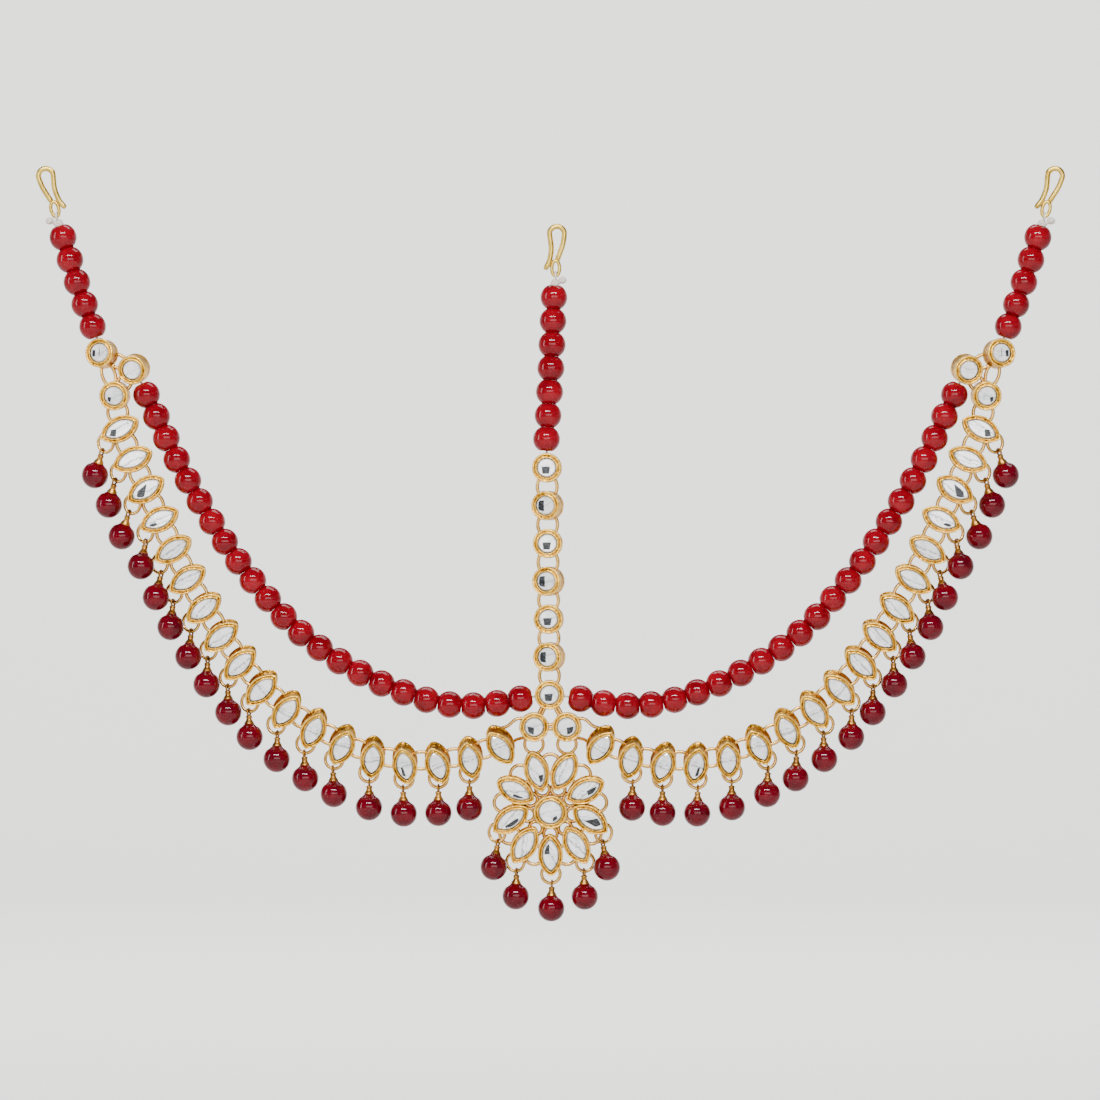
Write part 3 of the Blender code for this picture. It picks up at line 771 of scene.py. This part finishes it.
# the centre: a column of rounds, the pair and the rosette
centre = {
    "columnTop": (-0.8, 0, -54.9),
    "columnFoot": (-0.2, 0, -107.1),
    "column": 7,
    "pairSpacing": 7.6,
    "columnYaw": (-3, -17, -3, -17, -4, -16, -2, 2, -2),    # the pair's too
    "footLinkWide": 0.35,
    "pairLinkWide": 0.5,
    "loopSpread": 2.05,
    "loopInside": -1.0,
    "loopEdge": -3.2,
    "loopFoot": 0.6,
    "loopBow": (0.92, 0.0),    # of the upper and lower strand
    "pairBelow": 7.4,
    "hinge": (0, 2.7, -116.45),
    "rosetteRest": math.radians(5),
    "rosetteMiddle": (0, -2.0, -17.45),
    "petals": 9,
    "petalRadius": 10.0,
    "petalSquash": 0.93,
    "petalSway": (2, -10, -26, -4, -8, -4, 2, 24, 8),
    "outerRings": (10.9, 2.25),
    "innerRings": (5.3, 1.55),
    "dropPetals": (7, 8, 0, 1, 2),
}
rosetteDark = [(0.2, -0.9), (0.75, -0.8), (0.6, -0.3), (0.25, -0.5)]
columnDark = ([lowQuad], [leftQuad]) * 3 + ([lowQuad],)
pairDark = ([lowLeftQuad], [lowRightQuad])
petalDark = {
    0: [[(0.1, 0.15), (0.8, 0.1), (0.8, 0.9), (0.1, 0.9)]], 2: [triangle],
    3: [[(-0.85, 0.1), (-0.1, 0.1), (0.0, 0.8), (-0.85, 0.8)]],
    5: [[(0.3, 0.1), (0.8, 0.05), (0.8, 0.8), (0.3, 0.8)]],
    6: [[(0.0, -0.95), (0.8, -0.95), (0.8, -0.3), (0.0, -0.5)]],
    7: [[(-0.6, -0.95), (0.5, -0.95), (0.5, -0.35), (-0.6, -0.3)]],
}
endString = inPlane((112.1, -1.9), (108.9, -12.2), (105.3, -22.4))
centreString = inPlane((0.8, -15.7), (0.1, -32.2), (-0.9, -48.3))
swagRoute = inPlane(
    (92.9, -38.1), (85.9, -53.1), (77.5, -67.9), (68.4, -80.9), (57.2, -93.1),
    (43.1, -102.5), (28.0, -108.4), (16.8, -109.6), (6.9, -108.0),
)


def columnPlaces():
    steps = centre["column"] - 1
    top, foot = Vector(centre["columnTop"]), Vector(centre["columnFoot"])
    return [top.lerp(foot, index / steps) for index in range(steps + 1)]


def pairPlaces():
    below = centre["columnFoot"][2] - centre["pairBelow"]
    return [Vector((side * centre["pairSpacing"] / 2, 0, below)) for side in (-1, 1)]


def bandLoop():    # joins a band's last setting to its round of the pair
    last, root = bandFrames()[-1], pairPlaces()[0]
    back = setting["depth"] / 2 + band["clearance"] + band["wire"] / 2
    way = (root - last.translation).normalized()
    reaches = (centre["loopSpread"], -centre["loopSpread"])
    inside = [last @ Vector((reach, back, centre["loopInside"])) for reach in reaches]
    edge = [last @ Vector((reach, back, centre["loopEdge"])) for reach in reaches]
    into = Vector((0, centre["loopFoot"], 0))
    foot = [root + sideways(way) * reach + into for reach in reaches]
    bowed = [
        start.lerp(end, 0.5) + sideways(way) * bow
        for start, end, bow in zip(foot, edge, centre["loopBow"])
    ]
    path = [foot[0], bowed[0], edge[0], *inside, edge[1], bowed[1], foot[1]]
    return tube(smoothPath(path, 5), band["wire"], paleWire, sides=8)


def makeCentre():
    column, pair = columnPlaces(), pairPlaces()
    shape = Shape()
    for number, place in enumerate(column + pair):
        dark = (columnDark + pairDark)[number]
        lean = Matrix.Rotation(math.radians(centre["columnYaw"][number]), 4, "Z")
        shape.join(makeSetting("round", dark=dark), shifted(place) @ lean)
    for first, second in zip(column, column[1:]):
        shape.join(joinRing(first, second))
    for place in pair:
        shape.join(joinRing(column[-1], place, wide=centre["footLinkWide"]))
        at = Vector((place.x, 0, centre["hinge"][2]))
        shape.join(staple(at, Vector((1, 0, 0)), band["wire"]))
    shape.join(joinRing(*pair, wide=centre["pairLinkWide"]))
    loop = bandLoop()
    shape.join(loop).join(loop, flip)
    for target, end in (
        (column[0], centreString[-1]), (column[-1], onLeft(swagRoute)[-1]),
        (column[-1], swagRoute[-1]),
    ):
        shape.join(tailStaple(target, end))
    return shape


def petalFrames():
    frames = []
    for index in range(centre["petals"]):
        turn = math.tau * index / centre["petals"] - math.pi / 2
        place = Vector((centre["petalSquash"] * math.cos(turn), 0, math.sin(turn)))
        sway = math.radians(centre["petalSway"][index])
        frames.append(
            shifted(place * centre["petalRadius"]) @ turned(turn + math.pi + sway)
        )
    return frames


def makeRosette():
    frames = petalFrames()
    shape = makeSetting("round", setting["rosetteCentreWidth"], [rosetteDark])
    for number, place in enumerate(frames):
        shape.join(makeSetting("marquise", dark=petalDark.get(number, [])), place)
    for index in range(centre["petals"]):
        turn = math.tau * index / centre["petals"] - math.pi / 2
        for kind, offset in (("outerRings", math.pi / centre["petals"]), ("innerRings", 0)):
            reach, wide = centre[kind]
            along = Vector((math.cos(turn + offset), 0, math.sin(turn + offset)))
            ring = ovalRing(wide, wide, band["linkWire"], paleWire)
            shape.join(ring, shifted(along * reach + Vector((0, band["linkBack"], 0))))
    for index in centre["dropPetals"]:
        shape.join(jumpRing(), ringFrame(frames[index]))
    back = shifted(centre["rosetteMiddle"]).inverted()
    for side in (-1, 1):
        hung = Vector((side * centre["pairSpacing"] / 2, 0, -band["ringRadius"]))
        shape.join(jumpRing(), back @ shifted(hung))
    return shape


def rosettePlace():
    swing = Matrix.Rotation(centre["rosetteRest"], 4, "X")
    return shifted(centre["hinge"]) @ swing @ shifted(centre["rosetteMiddle"])


endDark = ([smallLeft, lineLeft], [], [cornerLeft])
makePiece("left_band_dressed", makeBand(sideBandDark, endDark),
          "headpiece", ["left_band"])
makePiece("right_band_dressed", makeBand(sideBandDark, endDark),
          "headpiece", ["right_band"], flip)
makePiece("centre_chain_dressed", makeCentre(), "headpiece", ["centre_chain"])
makePiece("rosette_dressed", makeRosette(), "rosette", ["rosette"], rosettePlace())
print("settings made")


# drops: each hangs on its own ring, where its solid hangs
drop = {
    "ballWidth": 5.6,    # of the solid; the ball as it looks grows by swell, downwards
    "swell": 0.6,
    "capWidth": 2.6,
    "capTop": 1.35,
    "capHeight": 1.7,
    "eyeReach": 0.78,
    "eyeWire": 0.46,
    "eyeLift": 0.12,
    "stemReach": 0.8,    # points this near the solid's far end belong to its stem's end
}
ballMiddle = drop["capTop"] + drop["capHeight"] + math.sqrt(
    drop["ballWidth"] ** 2 - drop["capWidth"] ** 2
) / 2


def dropPlace(node, ringWay):    # reads the solid's axis from its lowest point and its stem
    points = [v.co * 1000 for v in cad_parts[node].data.vertices]
    middle = sum(points, Vector()) / len(points)
    far = max(points, key=lambda point: (point - middle).length)
    near = [point for point in points if (point - far).length < drop["stemReach"]]
    stem = sum(near, Vector()) / len(near)
    pole = max(points, key=lambda point: (point - stem).length)
    if pole.z > stem.z:
        pole, stem = stem, pole
    up = (stem - pole).normalized()
    hung = pole + up * (ballMiddle + drop["ballWidth"] / 2)
    across = (ringWay - up * ringWay.dot(up)).normalized()
    side = across.cross(up)
    turn = Matrix((side, across, up)).transposed().to_4x4()
    return planeShift.inverted() @ shifted(hung) @ turn


def makeDrop():
    half, cap = (drop["ballWidth"] + drop["swell"]) / 2, drop["capWidth"] / 2
    capFoot = -drop["capTop"] - drop["capHeight"]
    ball = [(0.5, -2.3), (0.8, -2.5), (1.05, -2.75), (1.36, capFoot - 0.02), (1.74, -3.4)]
    for step in range(16):
        turn = math.radians(42) - math.radians(132) * step / 15
        reach = max(half * math.cos(turn), 0.02)
        ball.append((reach, half * math.sin(turn) - ballMiddle - drop["swell"] / 2))
    shape = turnedBody(ball, dropGlass, sides=32)
    profile = [
        (0.45, -0.84), (0.66, -0.92), (0.76, -1.12), (0.66, -1.4), (0.65, -1.7),
        (0.74, -2.0), (0.92, -2.25), (1.08, -2.5), (cap - 0.14, -2.72), (cap - 0.1, -2.8),
        (1.05, -2.84), (0.9, -2.75),
    ]
    shape.join(turnedBody(profile, capGold, sides=20))
    eye = ovalRing(drop["eyeReach"], drop["eyeReach"], drop["eyeWire"], capGold, count=20)
    quarter = Matrix.Rotation(math.pi / 2, 4, "Z")
    return shape.join(eye, shifted((0, 0, -drop["eyeLift"])) @ quarter)


def hangDrops():
    left = [ringFrame(place) for place in bandFrames()[:-1]]
    rosette = rosettePlace()
    for number, ring in enumerate(left):
        name = f"drop_{number + 1:02d}"
        way = ring.to_3x3() @ Vector((0, 1, 0))
        for side, ringWay in (("left", way), ("right", Vector((-way.x, way.y, way.z)))):
            node = f"{side}_{name}"
            makePiece(node + "_dressed", makeDrop(), "headpiece",
                      [node], dropPlace(node, ringWay))
    for number, index in enumerate(centre["dropPetals"]):
        ring = rosette @ ringFrame(petalFrames()[index])
        node = f"rosette_drop_{number + 1}"
        way = ring.to_3x3() @ Vector((0, 1, 0))
        makePiece(node + "_dressed", makeDrop(), "rosette",
                  [node], dropPlace(node, way))


hangDrops()
print("drops hung")


# strings of beads and hooks
bead = {
    "width": 6.3,
    "pitch": 5.45,
    "hole": 0.5,
    "holeLip": 0.1,
    "holeDepth": 0.25,
    "threadWidth": 0.5,
    "doubledWidth": 0.9,
    "tailReach": 0.9,
    "knotWidth": 2.2,
    "wrap": (0.62, 0.72, 0.85),    # how wide, how tall and how thick each turn of the knot is
    "wrapTilts": (-32, 0, 34, 70),
    "wrapTwist": 1.7,
    "bulbStretch": 1.15,
    "bulbOut": 1.55,
    "bulbDown": -1.0,
    "bulbNeck": 0.8,
    "bulbWidth": 1.7,
    "scatter": 0.012,
}
hook = {
    "wire": 1.26,
    "eyeWire": 0.86,
    "bow": 1.7,
    "eye": (0.9, 1.75),
    "eyeCentre": (-0.3, 0, -9.0),
    "shortLeg": inPlane((-2.75, -9.3), (-1.75, -7.3), (-1.3, -4.4)),
    "longLeg": inPlane((1.35, -3.5), (0.6, -5.7), (0.05, -7.2)),
    "tipSwell": [0.6, 0.96],
    "footSwell": 0.7,
    "centreOffset": 1.5,
    "sideOut": 116.3,
    "sideUp": 13.3,
    "sideLean": math.radians(13),
}


def oneBead(pitch):
    half = bead["width"] / 2 * (1 + scatter.uniform(-1, 1) * bead["scatter"])
    low = pitch / 2 - 0.01
    edge = math.asin(min(1, low / half))
    hole, lip = bead["hole"], bead["hole"] + bead["holeLip"]
    profile = [(hole, -low + bead["holeDepth"]), (lip, -low)]
    for step in range(15):
        turn = -edge + 2 * edge * step / 14
        profile.append((half * math.cos(turn), half * math.sin(turn)))
    profile += [(lip, low), (hole, low - bead["holeDepth"])]
    return turnedBody(profile, beadGlass, sides=28)


def beadsAlong(path):
    count = round(pathLength(path) / bead["pitch"]) + 1
    pitch = pathLength(path) / (count - 1)
    shape = Shape()
    for index in range(count):
        place, way = pointAlong(path, index * pitch)
        turn = way.to_track_quat("Z", "Y").to_matrix().to_4x4()
        shape.join(oneBead(pitch), shifted(place) @ turn)
    return shape.join(tube(path[::6], bead["threadWidth"], cottonThread, sides=6))


def tail(end, target):
    inward = (target - end).normalized()
    back = Vector((0, setting["depth"] / 2 + band["clearance"] + bead["threadWidth"] / 2, 0))
    start, stop = end + inward * bead["pitch"] / 2, target - inward * bead["tailReach"]
    path = [end, start + back, stop + back]
    return tube(smoothPath(path, 5), bead["threadWidth"], cottonThread, sides=8)


def loopAndKnot(eye, firstBead, side):    # the thread's melted end stands out to one side
    way = (firstBead - eye).normalized()
    reach = hook["eyeWire"] / 2 + band["clearance"] + bead["threadWidth"] / 2
    quarter = Matrix.Rotation(math.pi / 2, 4, "Z")
    loop = ovalRing(reach, reach, bead["threadWidth"], cottonThread, count=16)
    shape = Shape().join(loop, shifted(eye) @ quarter)
    knot = eye + way * (reach + (bead["knotWidth"] - bead["threadWidth"]) / 2)
    for tilt in bead["wrapTilts"]:
        wrap = ovalRing(*bead["wrap"], cottonThread, count=14)
        turn = Matrix.Rotation(math.radians(tilt), 4, "Y") @ Matrix.Rotation(
            math.radians(tilt * bead["wrapTwist"]), 4, "Z"
        )
        shape.join(wrap, shifted(knot) @ turn)
    bulb = eye + Vector((side * bead["bulbOut"], -0.3, bead["bulbDown"]))
    neck = [knot, knot.lerp(bulb, 0.5) + Vector((0, 0, -0.15)), bulb]
    shape.join(tube(smoothPath(neck, 4), bead["bulbNeck"], cottonThread, sides=10))
    reach = bead["bulbWidth"] / 2
    profile = []
    for step in range(11):
        turn = math.pi * (step / 10 - 0.5)
        tall = reach * bead["bulbStretch"]
        profile.append((max(0.02, reach * math.cos(turn)), tall * math.sin(turn)))
    across = Matrix.Rotation(math.radians(80), 4, "Y")
    shape.join(turnedBody(profile, cottonThread, sides=16), shifted(bulb) @ across)
    strand = tube([knot, firstBead], bead["doubledWidth"], cottonThread, sides=8)
    return shape.join(strand)


def makeHook():
    middle = Vector((0, 0, hook["wire"] / 2 - hook["bow"]))
    turns = [math.pi * (1 - step / 6) for step in range(7)]
    bow = [middle + hook["bow"] * Vector((math.cos(t), 0, math.sin(t))) for t in turns]
    path = smoothPath([*hook["shortLeg"], *bow, *hook["longLeg"]], 5)
    swell = hook["tipSwell"] + [1] * (len(path) - 3) + [hook["footSwell"]]
    shape = tube(path, hook["wire"], hookWire, sides=12, swell=swell)
    eye = ovalRing(*hook["eye"], hook["eyeWire"], hookWire, count=26, sides=10)
    return shape.join(eye, shifted(hook["eyeCentre"]))


def eyeFoot():
    return Vector(hook["eyeCentre"]) - Vector((0, 0, hook["eye"][1]))


def hangStrings():
    offset = Vector((hook["centreOffset"], 0, 0))
    path = smoothPath(centreString)
    shape = beadsAlong(path).join(loopAndKnot(eyeFoot() + offset, path[0], 1))
    shape.join(tail(path[-1], columnPlaces()[0]))
    makePiece("centre_string_dressed", shape, "headpiece", ["centre_bead_string"])
    makePiece("centre_hook_dressed", makeHook(), "headpiece", ["centre_hook"],
              shifted(offset))
    sidePlace = shifted((-hook["sideOut"], 0, hook["sideUp"])) @ turned(hook["sideLean"])
    foot = sidePlace @ (flip @ eyeFoot())
    for side, mirror in (("left", Matrix()), ("right", flip)):
        makePiece(side + "_hook_dressed", makeHook(), "headpiece",
                  [side + "_hook"], mirror @ sidePlace @ flip)
        ends = smoothPath(onLeft(endString))
        shape = beadsAlong(ends).join(loopAndKnot(foot, ends[0], -1))
        shape.join(tail(ends[-1], onLeft(endRounds)[0]))
        makePiece(side + "_end_string_dressed", shape, "headpiece",
                  [side + "_end_bead_string"], mirror)
        swag = smoothPath(onLeft(swagRoute))
        shape = beadsAlong(swag).join(tail(swag[0], onLeft(endRounds)[1]))
        shape.join(tail(swag[-1], columnPlaces()[-1]))
        makePiece(side + "_swag_dressed", shape, "headpiece",
                  [side + "_swag_bead_string"], mirror)


hangStrings()
print("strings and hooks hung")


# a pale floor that curves up far away, and soft studio light
studio = {
    "floorHeight": -0.30,
    "floorColour": (0.80, 0.79, 0.77, 1),
    "middleReach": 0.001,
    "sides": 96,
    "curveSteps": 12,
    "flatReach": 2.4,
    "edgeReach": 3.4,
    "edgeHeight": 1.6,
    "skyColour": (0.80, 0.82, 0.85, 1),
    "skyStrength": 0.20,
}
lamps = {    # place, aim, width, height, watts
    "key": ((-0.05, -1.0, 0.72), camera["centre"], 1.0, 0.12, 26.0),
    "fill": ((0.1, -1.5, 0.1), camera["centre"], 1.5, 0.4, 10.0),
    "side": ((-1.3, -0.4, 0.2), camera["centre"], 0.2, 0.9, 6.0),
    "top": ((0.1, 0.35, 1.0), camera["centre"], 1.2, 0.3, 8.0),
    "backdrop": ((0.0, 1.1, 1.5), (0.0, 3.2, -0.1), 2.6, 0.6, 130.0),
}


def makeFloor():
    flat, edge, steps = studio["flatReach"], studio["edgeReach"], studio["curveSteps"]
    profile = [(studio["middleReach"], 0.0), (flat, 0.0)]
    for step in range(1, steps + 1):
        turn = math.pi / 2 * step / steps
        profile.append((
            flat + (edge - flat) * math.sin(turn),
            studio["edgeHeight"] * (1 - math.cos(turn)),
        ))
    sides = studio["sides"]
    points, faces = [], [tuple(range(sides))]
    for reach, up in profile:
        for step in range(sides):
            turn = math.tau * step / sides
            points.append((
                reach * math.cos(turn), reach * math.sin(turn), up + studio["floorHeight"]
            ))
    for ring in range(len(profile) - 1):
        for step in range(sides):
            following = (step + 1) % sides
            faces.append((
                ring * sides + step, ring * sides + following,
                (ring + 1) * sides + following, (ring + 1) * sides + step,
            ))
    mesh = bpy.data.meshes.new("floor")
    mesh.from_pydata(points, [], faces)
    mesh.shade_smooth()
    finish = Finish("floor paint", Roughness=0.9)
    mesh.materials.append(finish.feed(Base_Color=studio["floorColour"]))
    made = bpy.data.objects.new("floor", mesh)
    bpy.context.scene.collection.objects.link(made)


def makeLights():
    world = bpy.data.worlds.new("studio")
    world.use_nodes = True
    sky = world.node_tree.nodes["Background"]
    sky.inputs["Color"].default_value = studio["skyColour"]
    sky.inputs["Strength"].default_value = studio["skyStrength"]
    bpy.context.scene.world = world
    for name, (place, target, width, height, watts) in lamps.items():
        data = bpy.data.lights.new(name, "AREA")
        data.shape = "RECTANGLE"
        data.size, data.size_y, data.energy = width, height, watts
        made = bpy.data.objects.new(name, data)
        made.location = place
        aim = Vector(target) - Vector(place)
        made.rotation_euler = aim.to_track_quat("-Z", "Y").to_euler()
        bpy.context.scene.collection.objects.link(made)


makeFloor()
makeLights()
print("studio lit")
